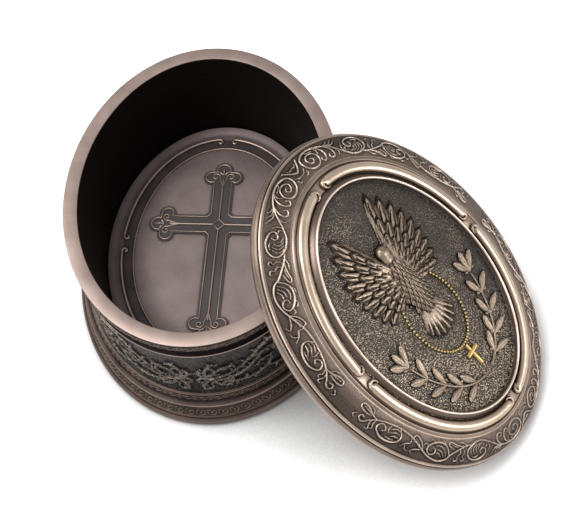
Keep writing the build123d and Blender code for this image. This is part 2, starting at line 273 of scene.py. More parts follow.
RUBBED_AND_HIGHLIT = (                          # edges of the mouldings that hands rub, from the foot up; at 9.35 a painted highlight on the foot's round moulding
    (2.6, 0.6, 1, 0.5), (3.9, 0.3, 1, 0.35), (9.35, 0.5, 1, 0.8), (13.0, 0.35, 1, 0.5),
    (38.05, 0.4, 1, 1),
)
PATINA_AND_SHADE_GROOVES = (                       # grooves and slopes between them, darkened as patina and as painted shade
    (11.3, 1.5, 1, 0.5), (40.35, 2.1, 5, 1), (45.35, 0.5, 3, 0.5),
)


def wall_wear_and_painted_light(paint):
    """The rim is bright, thin lines are rubbed, and the foot's round moulding has a painted highlight;
    the grooves and the inside stay dark as patina and painted shade, and the foot is made darker
    towards the bottom.
    """
    x, y, z = paint.axes()
    x_radius, y_radius = oval_radii(WALL_TOP - 0.15)
    within = ((1 - ((x / x_radius) ** 2 + (y / y_radius) ** 2)) * 60).limited()
    below_rim = ((45.4 - z) / 0.4).limited()
    rim = ((z - 45.8) / 0.15).limited()
    foot = ((13.0 - z) / 4).limited()
    # Painted light: occlusion, the groove levels and the inside of the wall set darker colour where
    # less light reaches, besides their patina.
    return (
        (patina_and_shade_in_recesses(paint, 2.2) ** 2) * 0.40 - 0.10 * foot + 0.34 * rim
        + 0.45 * lines_at(z, RUBBED_AND_HIGHLIT).limited() - 0.9 * lines_at(z, PATINA_AND_SHADE_GROOVES).limited()
        - 0.75 * within * below_rim
    )


box_body.data.materials.append(bronze(
    "wall_bronze", colour(26, 21, 20), colour(112, 94, 86), colour(214, 193, 183), wall_wear_and_painted_light
))


# ==== Carved bands of the box ==================================================
# Bands of leaves and scrolls are part of the casting. Each is cut as strokes of a
# rounded tool on one length of pattern, which is then repeated round the oval.
def distances(points):
    """How far along a line each of its points lies."""
    return np.r_[0, np.cumsum(np.hypot(*np.diff(points, axis=0).T))]


class Carving:
    """Heights, in millimetres, of one length of pattern, cut with round strokes."""

    ROUNDNESS = 0.6                 # 0.5 cuts a half round, and 1 a parabola

    def __init__(self, length, width, cell):
        self.length, self.width, self.cell = length, width, cell
        self.heights = np.zeros((int(length / cell) + 2, int(width / cell) + 2))

    def stroke(self, points, widths, height, vein=0.0):
        """Raises a round ridge along the points; a vein is a groove cut down its middle."""
        points = np.array(points, dtype=float)
        lengths = distances(points)
        along = np.arange(0, lengths[-1] + self.cell, self.cell)
        u = np.interp(along, lengths, points[:, 0])
        v = np.interp(along, lengths, points[:, 1])
        radii = np.interp(along, np.linspace(0, lengths[-1], len(widths)), widths) / 2
        for centre_u, centre_v, radius in zip(u, v, radii):
            self.dab(centre_u, centre_v, radius, height * min(1.0, radius / max(radii) + 0.25))
        if vein:
            self.groove(u, v, 0.28 * radii, vein * height)

    def groove(self, u, v, radii, depth):
        """Cuts a narrow groove along points that lie a cell apart."""
        cut = np.zeros_like(self.heights)
        for centre_u, centre_v, radius in zip(u, v, np.maximum(radii, self.cell)):
            rows, columns, fall = self.spot(centre_u, centre_v, 1.6 * radius)
            if fall is not None:
                area = cut[rows, columns]
                np.maximum(area, fall * depth, out=area)
        self.heights -= cut

    def spot(self, u, v, radius):
        """The cells round a place, and how each lies from its middle (1) to the radius (0)."""
        reach = radius / self.cell
        rows, columns = self.heights.shape
        spans = []
        for place, cells in ((u, rows), (v, columns)):
            middle = place / self.cell
            spans.append(np.arange(max(0, int(middle - reach)), min(cells, int(middle + reach) + 2)))
        across, along = spans
        if not len(across) or not len(along):
            return None, None, None
        away = (across[:, None] * self.cell - u) ** 2 + (along[None, :] * self.cell - v) ** 2
        fall = np.clip(1 - away / radius**2, 0, 1)
        return slice(across[0], across[-1] + 1), slice(along[0], along[-1] + 1), fall

    def dab(self, u, v, radius, height):
        """Raises one round boss."""
        rows, columns, fall = self.spot(u, v, radius)
        if fall is not None:
            area = self.heights[rows, columns]
            np.maximum(area, fall**self.ROUNDNESS * height, out=area)

    def sample(self, u, v, mirrored):
        """Heights at each (u, v); the pattern repeats along u, every second one mirrored if asked."""
        if mirrored:
            u = np.mod(u, 2 * self.length)
            u = np.where(u > self.length, 2 * self.length - u, u)
        else:
            u = np.mod(u, self.length)
        row, column = u / self.cell, np.clip(v, 0, self.width) / self.cell
        low_row, low_column = row.astype(int), column.astype(int)
        part_row, part_column = row - low_row, column - low_column
        high_row, high_column = low_row + 1, low_column + 1
        take = self.heights
        return (
            take[low_row, low_column] * (1 - part_row) * (1 - part_column)
            + take[high_row, low_column] * part_row * (1 - part_column)
            + take[low_row, high_column] * (1 - part_row) * part_column
            + take[high_row, high_column] * part_row * part_column
        )


def hook(start, heading, length, bend, steps=14):
    """Points of a curved stroke: it leaves start along heading and turns by bend, in degrees."""
    points = [np.array(start, dtype=float)]
    for step in range(steps):
        angle = math.radians(heading + bend * (step + 0.5) / steps)
        points.append(points[-1] + length / steps * np.array((math.cos(angle), math.sin(angle))))
    return points


def through(*points, steps=6):
    """A smooth curve through points, as a list of places along it."""
    knots = np.array([points[0], *points, points[-1]], dtype=float)
    curve = []
    for a, b, c, d in zip(knots, knots[1:], knots[2:], knots[3:]):
        for share in np.arange(steps) / steps:
            curve.append(0.5 * (
                2 * b + (c - a) * share + (2 * a - 5 * b + 4 * c - d) * share**2
                + (3 * b - a - 3 * c + d) * share**3
            ))
    return curve + [knots[-1]]


FRINGE_LEAN, FRINGE_BEND = 38, 70   # how a lobe leaves its stem, and how far it curls on, in degrees


def fringe(carving, curve, first, last, every, length, width, height):
    """Lobes of a leaf that spring from both edges of a curve and curl forward."""
    curve = np.array(curve)
    lengths = distances(curve)
    for number, at in enumerate(np.arange(first, min(last, lengths[-1]), every)):
        u, next_u = np.interp((at, at + 0.3), lengths, curve[:, 0])
        v, next_v = np.interp((at, at + 0.3), lengths, curve[:, 1])
        heading = math.degrees(math.atan2(next_v - v, next_u - u))
        side = 1 if number % 2 else -1
        reach = length * (1 - 0.35 * (at - first) / (last - first))
        carving.stroke(
            hook((u, v), heading + side * FRINGE_LEAN, reach, side * FRINGE_BEND, steps=8),
            (width * 0.5, width, width * 0.9, width * 0.45), height, vein=0.3,
        )


def closed_shell(name, places, **marks):
    """A skin through rows of places that close on themselves; marks are kept on its points."""
    rows, columns, _ = places.shape
    bpy.ops.object.select_all(action="DESELECT")
    bpy.ops.mesh.primitive_grid_add(x_subdivisions=columns - 1, y_subdivisions=rows - 1, size=1)
    piece = bpy.context.object
    piece.name = name
    piece.data.vertices.foreach_set("co", (places * MM).reshape(-1))
    for kind, values in marks.items():
        layer = piece.data.attributes.new(kind, "FLOAT", "POINT")
        layer.data.foreach_set("value", values.reshape(-1))
    bpy.ops.object.mode_set(mode="EDIT")
    bpy.ops.mesh.select_all(action="SELECT")
    bpy.ops.mesh.remove_doubles(threshold=0.001 * MM)
    bpy.ops.mesh.normals_make_consistent(inside=False)
    bpy.ops.object.mode_set(mode="OBJECT")
    bpy.ops.object.shade_smooth_by_angle(angle=math.radians(60))
    return piece


def carved_band(name, edge, columns, rows, carving, repeats, mirrored, margin, back=0.5, start=0.0):
    """A closed shell round the oval. Its face follows the (inset, height) edge and is carved, with
    the pattern repeated round it and faded out over the margin; its back lies deeper."""
    edge = np.array(edge, dtype=float)
    spans = distances(edge)
    across = np.linspace(0, spans[-1], rows)
    inset, height = (np.interp(across, spans, values) for values in edge.T)
    x, y = oval_radii(float(np.mean(inset)))
    angles = np.linspace(0, 2 * math.pi, 2881)
    lengths = distances(np.stack((x * np.cos(angles), y * np.sin(angles)), axis=1))
    share = np.linspace(0, 1, columns + 1)
    turn = np.interp(share * lengths[-1], lengths, angles)

    u = np.mod(share + start, 1.0) * repeats * carving.length
    v = across / spans[-1] * carving.width
    raised = carving.sample(*np.meshgrid(u, v, indexing="ij"), mirrored)
    raised = raised * np.clip(np.minimum(v, carving.width - v) / margin, 0, 1)

    x, y = oval_radii(inset)
    cosine, sine = np.cos(turn)[:, None], np.sin(turn)[:, None]
    normal = np.stack((cosine / x, sine / y, 0 * cosine * x), axis=2)
    normal *= np.gradient(height, across)[:, None] / np.linalg.norm(normal, axis=2, keepdims=True)
    normal[:, :, 2] = np.gradient(inset, across)
    normal /= np.linalg.norm(normal, axis=2, keepdims=True)
    face = np.stack((x * cosine, y * sine, height + 0 * cosine), axis=2)
    front = face + normal * raised[:, :, None]
    few = np.linspace(rows - 1, 0, 5).astype(int)
    rear = face[:, few] - normal[:, few] * back

    # The bare ground close beside the strokes is marked for patina and painted shade.
    bare = raised < 0.02
    ground = 1.0 - bare
    for axis, cells in ((0, 2), (1, 5)):
        steps = range(-cells, cells + 1)
        ground = sum(np.roll(ground, step, axis=axis) for step in steps) / len(steps)
    unmarked = ((0, 0), (0, len(few) + 1))
    return closed_shell(
        name, np.concatenate((front, rear, front[:, :1]), axis=1),
        worn=np.pad(raised / carving.heights.max(), unmarked), patina=np.pad(ground * bare, unmarked),
    )


def carved_height(paint):
    """How high the carving stands here, from its ground (0) to its highest (1)."""
    return paint.node("ShaderNodeAttribute", {"attribute_name": "worn"}, output="Fac")


def patina_and_shade_beside_strokes(paint):
    """How much patina and painted shade darken the ground close beside the carving."""
    return paint.node("ShaderNodeAttribute", {"attribute_name": "patina"}, output="Fac")


frieze = Carving(34.0, 24.4, cell=0.07)
stems = [through(*points) for points in (
    ((4.6, 8.8), (8.6, 9.6), (13.0, 12.2), (17.0, 16.0), (21.0, 19.8), (25.2, 21.4), (29.4, 19.8),
     (31.2, 16.0), (29.6, 12.4), (26.0, 11.2), (23.6, 13.4), (24.6, 16.4), (27.0, 16.4), (27.4, 14.6)),
    ((5.6, 7.4), (10.0, 7.6), (14.2, 9.2), (17.8, 12.2), (20.0, 15.2), (21.8, 15.6), (21.8, 14.0)),
    ((8.4, 5.6), (13.0, 4.2), (17.4, 4.0), (21.2, 5.6), (22.8, 8.4), (21.4, 10.6), (19.0, 10.2),
     (18.4, 8.2), (20.0, 7.4)),
    ((21.6, 4.6), (26.0, 3.0), (30.2, 4.2), (32.4, 7.0), (31.4, 9.6), (28.8, 9.6), (28.0, 7.6),
     (29.6, 6.8)),
    ((3.8, 9.4), (3.2, 12.6), (4.0, 15.8), (5.8, 17.8), (7.2, 17.4)),
    ((4.6, 9.8), (6.0, 12.8), (8.8, 14.8), (11.2, 14.8), (11.6, 13.4)),
    ((4.8, 8.4), (3.0, 6.4), (2.0, 4.4), (3.2, 2.9), (4.8, 3.6), (4.4, 5.2)),
    ((5.4, 7.8), (6.2, 5.4), (8.2, 3.6), (10.0, 4.4), (9.6, 6.2), (8.2, 6.0)),
    ((4.0, 8.8), (2.4, 9.6), (1.0, 8.6), (1.2, 6.8), (2.4, 6.8)),
    ((3.4, 9.6), (1.8, 11.6), (1.5, 14.2), (2.6, 15.0)),
)]
for stem in stems:
    frieze.stroke(stem, (0.9, 1.2, 1.1, 0.8), 0.85, vein=0.4)
for number, first, last, length in (
    (0, 4, 52, 3.2), (1, 4, 17, 2.6), (2, 3, 24, 2.4), (3, 2, 22, 2.4), (4, 1, 9, 2.6), (5, 1, 9, 2.6),
    (6, 1, 8, 1.9), (7, 1, 8, 1.9), (9, 1, 6, 1.8),
):
    fringe(frieze, stems[number], first, last, every=2.5, length=length, width=1.15, height=0.72)
frieze.dab(4.6, 8.8, 1.1, 0.85)
frieze.dab(26.4, 15.2, 0.8, 0.8)
frieze_band = carved_band(
    "frieze", [(-0.08, 13.55), (0.38, 14.65), (0.92, 17.05), (1.17, 21.0), (1.17, 37.45)],
    900, 100, frieze, repeats=8, mirrored=True, margin=0.5, start=0.25,
)

foot_carving = Carving(3.3, 4.0, cell=0.05)
for points, widths, height in (
    (through((0.5, 3.3), (0.35, 2.0), (1.0, 0.9), (2.2, 0.8), (2.9, 1.8), (2.7, 3.0), (2.0, 3.1)),
     (0.35, 0.42, 0.35), 0.3),
    (through((0.5, 3.3), (1.0, 3.5), (1.2, 3.0)), (0.35, 0.3), 0.28),
    ([(0, 3.0), (0, 3.8)], (0.3, 0.3), 0.26),
    ([(3.3, 3.0), (3.3, 3.8)], (0.3, 0.3), 0.26),
):
    foot_carving.stroke(points, widths, height)
for u, v, radius, height in ((1.65, 2.15, 0.42, 0.34), (0.0, 0.6, 0.3, 0.24), (3.3, 0.6, 0.3, 0.24)):
    foot_carving.dab(u, v, radius, height)
foot_band = carved_band(
    "foot_scroll_band", [(-3.28, 4.15), (-2.4, 7.45)], 2000, 24, foot_carving,
    repeats=90, mirrored=False, margin=0.2,
)

laurel = Carving(5.2, 2.6, cell=0.05)
for base, hand in ((0.0, 1), (2.6, -1)):
    wave = [(base + u, 1.3 + hand * v) for u, v in ((0, 0), (0.8, 0.8), (1.8, 0.75), (2.6, 0))]
    curled = (1.7, 0.8), (1.0, 0.1), (1.2, -0.6), (1.9, -0.4), (1.6, 0)
    curl = [(base + u, 1.3 + hand * v) for u, v in curled]
    laurel.stroke(through(*wave), (0.3, 0.36, 0.3), 0.26)
    laurel.stroke(through(*curl), (0.36, 0.34, 0.26), 0.28)
    leaf = hook((base + 0.3, 1.3), -hand * 70, 1.1, hand * 60)
    laurel.stroke(leaf, (0.3, 0.5, 0.2), 0.28)
    leaf = hook((base + 2.2, 1.3 + hand * 0.3), hand * 70, 0.9, -hand * 80)
    laurel.stroke(leaf, (0.28, 0.46, 0.2), 0.26)
leaf_band = carved_band(
    "rim_leaf_band", [(0.27, 42.4), (0.27, 44.95)], 1900, 16, laurel,
    repeats=54, mirrored=False, margin=0.12,
)
dark_band = carved_band(
    "foot_leaf_band", [(-1.02, 10.6), (-0.3, 12.4)], 1900, 12, laurel,
    repeats=62, mirrored=False, margin=0.12, back=0.3,
)


def frieze_wear_and_shade(paint):
    """Rubbed leaves on a dark ground, which clears a little towards the collar; patina and painted
    shade darken it in recesses and beside the leaves.
    """
    clearing = ((paint.axes()[2] - 27.0) / 10.0).limited()
    rubbed = (carved_height(paint) ** 1.5) * 0.75 + (patina_and_shade_in_recesses(paint, 0.9) ** 2) * 0.12
    return rubbed + clearing * 0.17 - 0.03 - patina_and_shade_beside_strokes(paint) * 0.3


frieze_paint = bronze(
    "frieze_bronze", colour(12, 12, 12), colour(84, 77, 72), colour(206, 184, 168), frieze_wear_and_shade,
    grain_mm=0.42, grain_depth=0.16, speckle=1.5,
)
# The bands' recesses are darker with patina and painted shade.
band_paint = bronze(
    "band_bronze", colour(22, 19, 17), colour(100, 86, 76), colour(200, 176, 154),
    lambda paint: carved_height(paint) * 0.5 + (patina_and_shade_in_recesses(paint, 0.9) ** 2) * 0.24 - 0.06,
    grain_mm=0.3, grain_depth=0.04, speckle=0.3,
)
frieze_band.data.materials.append(frieze_paint)
for band in (foot_band, leaf_band, dark_band):
    band.data.materials.append(band_paint)
for band in (frieze_band, foot_band, leaf_band, dark_band):
    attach(band, "box")


# ==== Felt under the foot ======================================================
# Thin black felt, cut to an oval and glued into the recess of the foot. It stands
# half a millimetre proud, so that the foot doesn't touch the table.
felt = oval_casting(
    "felt_pad",
    soft_corners([(FELT_INSET + 0.05, 0), (FELT_INSET + 0.05, 1.5), (FELT_INSET + 2, 1.5)]),
    capped=True,
)
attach(felt, "box")
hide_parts("base_felt")
felt_paint = Paint(bpy.data.materials.new("felt"), roughness=0.95)
nap = felt_paint.noise(0.4, 4.0)
felt_paint.feed(
    base_color=felt_paint.ramp(nap, (0.3, colour(16, 15, 15)), (0.7, colour(34, 32, 31))),
    normal=felt_paint.bumped(nap, 0.15),
)
felt.data.materials.append(felt_paint.material)


# ==== Floor of the box =========================================================
# A dished oval plate of the same cast bronze, satin mauve-brown, set inside the wall.
# It carries four curled border lines and a thin oval line, with darker patina between.
FLOOR = 11.5
BORDER_INSET, BORDER_GAP, BORDER_CURL = 9.8, 5.2, 1.0
LINE_INSET = 13.5

dish = [(WALL_FOOT + 0.05, 8.5), (WALL_FOOT + 0.05, 12.6), (WALL_FOOT + 0.3, 12.7)]
for step in range(1, 9):
    share = step / 8
    dish.append((WALL_FOOT + 0.3 + 2.7 * share, FLOOR + 1.2 * (1 - share) ** 2))
floor_plate = oval_casting("floor_plate_dished", dish, capped=True)
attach(floor_plate, "box")
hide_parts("floor_plate")


def oval_depth(paint, inset):
    """How far inside an oval of that inset a point lies, in millimetres, near its edge."""
    x, y, _ = paint.axes()
    x_radius, y_radius = oval_radii(inset)
    reach = ((x / x_radius) ** 2 + (y / y_radius) ** 2) ** 0.5
    return (1 - reach) * ((x_radius + y_radius) / 2)


def floor_wear_and_shade(paint):
    """Dark in the dish, with patina and painted shade under the wall, darker patina between the border
    lines, and rubbed in the middle.
    """
    line = oval_depth(paint, LINE_INSET)
    between = (oval_depth(paint, BORDER_INSET) * 2).limited() * (1 - (line * 2).limited())
    middle = (line / 7.0).limited()
    return 0.46 + 0.2 * middle - between * 0.26 + (patina_and_shade_in_recesses(paint, 2.5) - 1) * 0.7


floor_paint = bronze(
    "floor_bronze", colour(34, 30, 31), colour(132, 118, 116), colour(206, 188, 182), floor_wear_and_shade,
    rough=0.5, grain_mm=0.3, grain_depth=0.006,
)
floor_plate.data.materials.append(floor_paint)


def drawn(name, lines, closed, seat, stretch=1.0, **settings):
    """A mesh of lines through (x, y) points in millimetres, each with its radii, at a height."""
    bpy.ops.object.select_all(action="DESELECT")
    drawing = bpy.data.curves.new(name, "CURVE")
    for setting, value in settings.items():
        setattr(drawing, setting, value)
    for points, radii in lines:
        spline = drawing.splines.new("POLY")
        spline.points.add(len(points) - 1)
        spread = np.interp(np.linspace(0, 1, len(points)), np.linspace(0, 1, len(radii)), radii)
        for made, (x, y), radius in zip(spline.points, points, spread):
            made.co = (x * MM, y * MM, 0, 1)
            made.radius = radius
        spline.use_cyclic_u = closed
    piece = bpy.data.objects.new(name, drawing)
    bpy.context.collection.objects.link(piece)
    piece.select_set(True)
    bpy.context.view_layer.objects.active = piece
    bpy.ops.object.convert(target="MESH")
    piece = bpy.context.object
    piece.scale = (1, 1, stretch)
    piece.location = (0, 0, seat * MM)
    bpy.ops.object.transform_apply(location=True, rotation=True, scale=True)
    return piece


def raised_lines(name, lines, width, height, seat, closed=False):
    """Half-round lines laid on a flat seat."""
    piece = drawn(
        name, lines, closed, seat, stretch=2 * height / width,
        dimensions="3D", bevel_depth=width / 2 * MM, bevel_resolution=3, use_fill_caps=True,
    )
    bpy.ops.object.shade_smooth_by_angle(angle=math.radians(50))
    return piece


def oval_arc(inset, first, last, steps):
    """Points of the oval between two angles, in degrees."""
    x, y = oval_radii(inset)
    turns = np.radians(np.linspace(first, last, steps + 1))
    return list(zip(x * np.cos(turns), y * np.sin(turns)))


def quarter_arc(inset, quarter, gap, steps):
    """A quarter of the oval that stops half a gap short of both axes."""
    x, y = oval_radii(inset)
    starts = [math.degrees(math.asin(gap / 2 / radius)) for radius in (y, x)]
    if quarter % 2:
        starts.reverse()
    return oval_arc(inset, 90 * quarter + starts[0], 90 * quarter + 90 - starts[1], steps)


def spiral(centre, radius, start, turns, inner, steps):
    """Points of a scroll that winds inwards round its centre from a start angle, in degrees."""
    points = []
    for step in range(steps + 1):
        share = step / steps
        angle = math.radians(start + 360 * turns * share)
        reach = radius * (1 - (1 - inner) * share**0.85)
        points.append((centre[0] + reach * math.cos(angle), centre[1] + reach * math.sin(angle)))
    return points


def border_line(quarter):
    """Points of one border line: a quarter of the oval, with both ends wound in a small scroll."""
    run = quarter_arc(BORDER_INSET, quarter, BORDER_GAP, 70)
    ends = []
    for here, before, hand in ((run[0], run[1], -1), (run[-1], run[-2], 1)):
        heading = math.atan2(here[1] - before[1], here[0] - before[0])
        side = heading + hand * math.pi / 2
        centre = (here[0] + BORDER_CURL * math.cos(side), here[1] + BORDER_CURL * math.sin(side))
        start = math.degrees(side) + 180
        ends.append(spiral(centre, BORDER_CURL, start, hand * 0.75, inner=0.35, steps=20))
    return ends[0][::-1] + run[1:-1] + ends[1]


# Raised lines: darker where they meet their seat, as patina and painted shade.
line_paint = bronze(
    "line_bronze", colour(70, 60, 56), colour(150, 128, 118), colour(226, 202, 186),
    lambda paint: 0.25 + 0.45 * patina_and_shade_in_recesses(paint, 1.2), rough=0.4,
)
for quarter in range(4):
    border = raised_lines(
        f"border_line_{quarter + 1}", [(border_line(quarter), (0.8, 1.0, 1.0, 0.8))],
        width=1.05, height=0.5, seat=FLOOR,
    )
    border.data.materials.append(line_paint)
    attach(border, "box")
    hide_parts(f"floor_border_{quarter + 1}")

thin_line = raised_lines(
    "thin_oval_line", [(oval_arc(LINE_INSET, 0, 359, 220), (1, 1))],
    width=0.5, height=0.3, seat=FLOOR, closed=True,
)
thin_line.data.materials.append(line_paint)
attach(thin_line, "box")


# ==== Cross on the floor =======================================================
# A budded cross cast with the floor: a low slab with a thin raised line inside its
# edge, a rib along each arm that splits into two scrolls and a small leaf at the tip.
CROSSING_Y = 7.5
ARMS = ((90, 23.2), (180, 22.1), (270, 40.2), (0, 22.1))   # heading and reach of each arm
ARM_HALF = 3.5                      # half the width of an arm
LOBE_BACK, LOBE_SPREAD = 5.6, 3.8   # side lobes: how far behind the tip, and beside the middle
LOBE_RADIUS, TIP_RADIUS = 2.6, 2.9
CORNER = 1.1                        # bevel of the inner corners where the arms cross
SLAB_LOW, SLAB_TOP = FLOOR - 0.3, FLOOR + 0.32


def turned(points, heading):
    """Points drawn along +X, turned to a heading and moved to the crossing."""
    cosine, sine = math.cos(math.radians(heading)), math.sin(math.radians(heading))
    return [(x * cosine - y * sine, CROSSING_Y + x * sine + y * cosine) for x, y in points]


def lobed_edge(reach, setback):
    """Half outline of one arm, from its inner corner round the lobes to its tip."""
    half, knot = ARM_HALF - setback, reach - LOBE_BACK
    side_lobe, tip_lobe = LOBE_RADIUS - setback, TIP_RADIUS - setback
    meeting = knot - math.sqrt(side_lobe**2 - (LOBE_SPREAD - half) ** 2)
    points = [(half + CORNER, half), (meeting, half)]
    for turn in np.radians(np.linspace(188, -2, 17)):
        points.append((knot + side_lobe * math.cos(turn), LOBE_SPREAD + side_lobe * math.sin(turn)))
    for turn in np.radians(np.linspace(112, 0, 13)):
        points.append((reach - TIP_RADIUS + tip_lobe * math.cos(turn), tip_lobe * math.sin(turn)))
    return points


def cross_edge(setback):
    """The whole outline of the cross, the given setback inside its edge."""
    outline = []
    for heading, reach in ARMS:
        half = lobed_edge(reach, setback)
        arm = [(x, -y) for x, y in half] + half[::-1][1:]
        outline += turned(arm, heading)
    return outline


slab = drawn(
    "cross_slab", [(cross_edge(0.0), (1, 1))], True, (SLAB_TOP + SLAB_LOW) / 2,
    dimensions="2D", fill_mode="BOTH", extrude=(SLAB_TOP - SLAB_LOW) / 2 * MM,
)
inner_edge = cross_edge(0.75)
strokes = [(inner_edge + inner_edge[:1], (1, 1))]
for heading, reach in ARMS:
    knot = reach - LOBE_BACK
    strokes.append((turned([(1.9, 0.0), (knot - 1.0, 0.0)], heading), (1.3, 1.3)))
    for side in (-1, 1):
        lead = [(knot - 3.2, side * 0.25), (knot - 1.9, side * 0.5)]
        middle = (knot + 0.15, side * 2.45)
        scroll = spiral(middle, 1.45, -side * 115, side * 1.15, inner=0.25, steps=26)
        strokes.append((turned(lead + scroll, heading), (1.0, 1.0, 0.9, 0.8)))
    for side in (-1, 0, 1):
        drop = hook((knot + 0.9, side * 0.25), side * 38, 3.0 - 0.7 * abs(side), side * 35)
        strokes.append((turned(drop, heading), (0.7, 1.35, 0.5)))
lozenge = [(1.9, 0), (0, 1.9), (-1.9, 0), (0, -1.9), (1.9, 0)]
strokes.append((turned(lozenge, 0), (1.1, 1.1)))
cross_lines = raised_lines("cross_lines", strokes, width=0.6, height=0.32, seat=SLAB_TOP)
# The slab darkens round its raised lines and at its edge, as patina and painted shade.
slab.data.materials.append(bronze(
    "cross_slab_bronze", colour(38, 37, 40), colour(98, 92, 92), colour(150, 136, 130),
    lambda paint: 0.1 + 0.42 * patina_and_shade_in_recesses(paint, 1.5), rough=0.5,
))
cross_lines.data.materials.append(line_paint)
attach(slab, "box")
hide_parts("floor_cross")
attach(cross_lines, "box")


# ==== Lid frame ================================================================
# The lid's oval mouldings are one casting, hollow underneath, with the lip that drops
# into the box. It is drawn lying flat and then leaned on the rim of the box.
LID_ORIGIN = Vector((57.199003, -27.695361, 31.236085)) * MM
LID_ACROSS = Vector((0.45689966, 0.87759406, -0.14515977))
LID_UP = Vector((0.58736267, -0.17510042, 0.79015501))
LID_ALONG = LID_UP.cross(LID_ACROSS)
lid_turn = Matrix((LID_ACROSS, LID_ALONG, LID_UP)).transposed()
lid_place = Matrix.Translation(LID_ORIGIN) @ lid_turn.to_4x4()
SEAT = 8.5                          # flat that the ribs stand on, level with the plaque's edge
PLAQUE_INSET, PLAQUE_UNDERSIDE = 10.6, 5.9


def lean(piece, *nodes, slot):
    """Leans a piece that was drawn lying flat, and fixes it to the lid."""
    bpy.ops.object.select_all(action="DESELECT")
    piece.select_set(True)
    bpy.context.view_layer.objects.active = piece
    piece.matrix_world = lid_place
    bpy.ops.object.transform_apply(location=True, rotation=True, scale=True)
    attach(piece, "lid")
    if nodes:
        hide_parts(*nodes)


locating_lip = [(6.7, -4.5), (5.0, -4.5), (4.7, 0.0)]
roll = [
    (-1.5, 0.0), (-1.8, 0.24), (-2.1, 0.5), (-2.3, 0.8), (-2.44, 1.2), (-2.5, 1.7), (-2.5, 2.2),
    (-2.42, 2.8), (-2.25, 3.3), (-2.0, 3.68), (-1.72, 3.8),
]
thin_bead = [(-1.78, 4.0), (-1.86, 4.3), (-1.74, 4.6), (-1.5, 4.74), (-1.25, 4.66), (-1.12, 4.9)]
vine_ground = [(-0.5, 5.35), (0.8, 6.1), (2.0, 6.75), (4.0, 7.5), (5.5, 7.9)]
thin_ridge = [
    (5.95, 7.86), (6.3, 8.18), (6.6, 8.38), (6.85, 8.38), (7.1, 8.2), (7.3, 8.08), (7.5, SEAT),
]
underside = [
    (PLAQUE_INSET, SEAT), (PLAQUE_INSET, PLAQUE_UNDERSIDE), (12.6, PLAQUE_UNDERSIDE), (12.6, 4.4),
    (8.5, 4.4), (6.7, -4.5),
]
lid_frame = oval_casting(
    "lid_mouldings",
    soft_corners(locating_lip + roll + thin_bead + vine_ground + thin_ridge + underside, reach=0.12),
    capped=False,
)
lean(lid_frame, "lid_frame", slot="antique_bronze")


def flat_place(paint):
    """The place of a point on the lid, as if the lid lay flat: x, y and z in millimetres."""
    return paint.axes(paint.node("ShaderNodeMapping", {"vector_type": "TEXTURE"}, {
        "Vector": paint.place(), "Location": tuple(LID_ORIGIN),
        "Rotation": tuple(lid_place.to_euler("XYZ")),
    }))


# Edges of the lid's mouldings: dark where the strength is below 0, rubbed where it is above. The one
# at 3.0 is painted shade on the outer roll's upper side, and the dark grooves are patina and painted
# shade.
LID_RUBS_AND_SHADES = ((3.0, 0.9, 1, -0.28), (3.75, 0.3, 1, -0.35), (4.4, 0.3, 1, 0.3), (4.95, 0.22, 1, -0.35))


def moulding_wear_and_shade(paint):
    """The mouldings are satin and rubbed, painted lighter in the open and darker in recesses as patina
    and painted shade; the vine's ground keeps its patina at the outer side.
    """
    z = flat_place(paint)[2]
    ground = ((z - 4.75) * 4).limited() * ((7.7 - z) / 1.6).limited()
    lit_open_places = (patina_and_shade_in_recesses(paint, 1.3) ** 2) * 0.42 + (patina_and_shade_in_recesses(paint, 0.4) ** 3) * 0.14
    return 0.06 + lit_open_places - ground * 0.3 + lines_at(z, LID_RUBS_AND_SHADES)


lid_frame.data.materials.append(bronze(
    "lid_bronze", colour(30, 24, 21), colour(138, 120, 108), colour(232, 210, 192), moulding_wear_and_shade,
    rough=0.29,
))


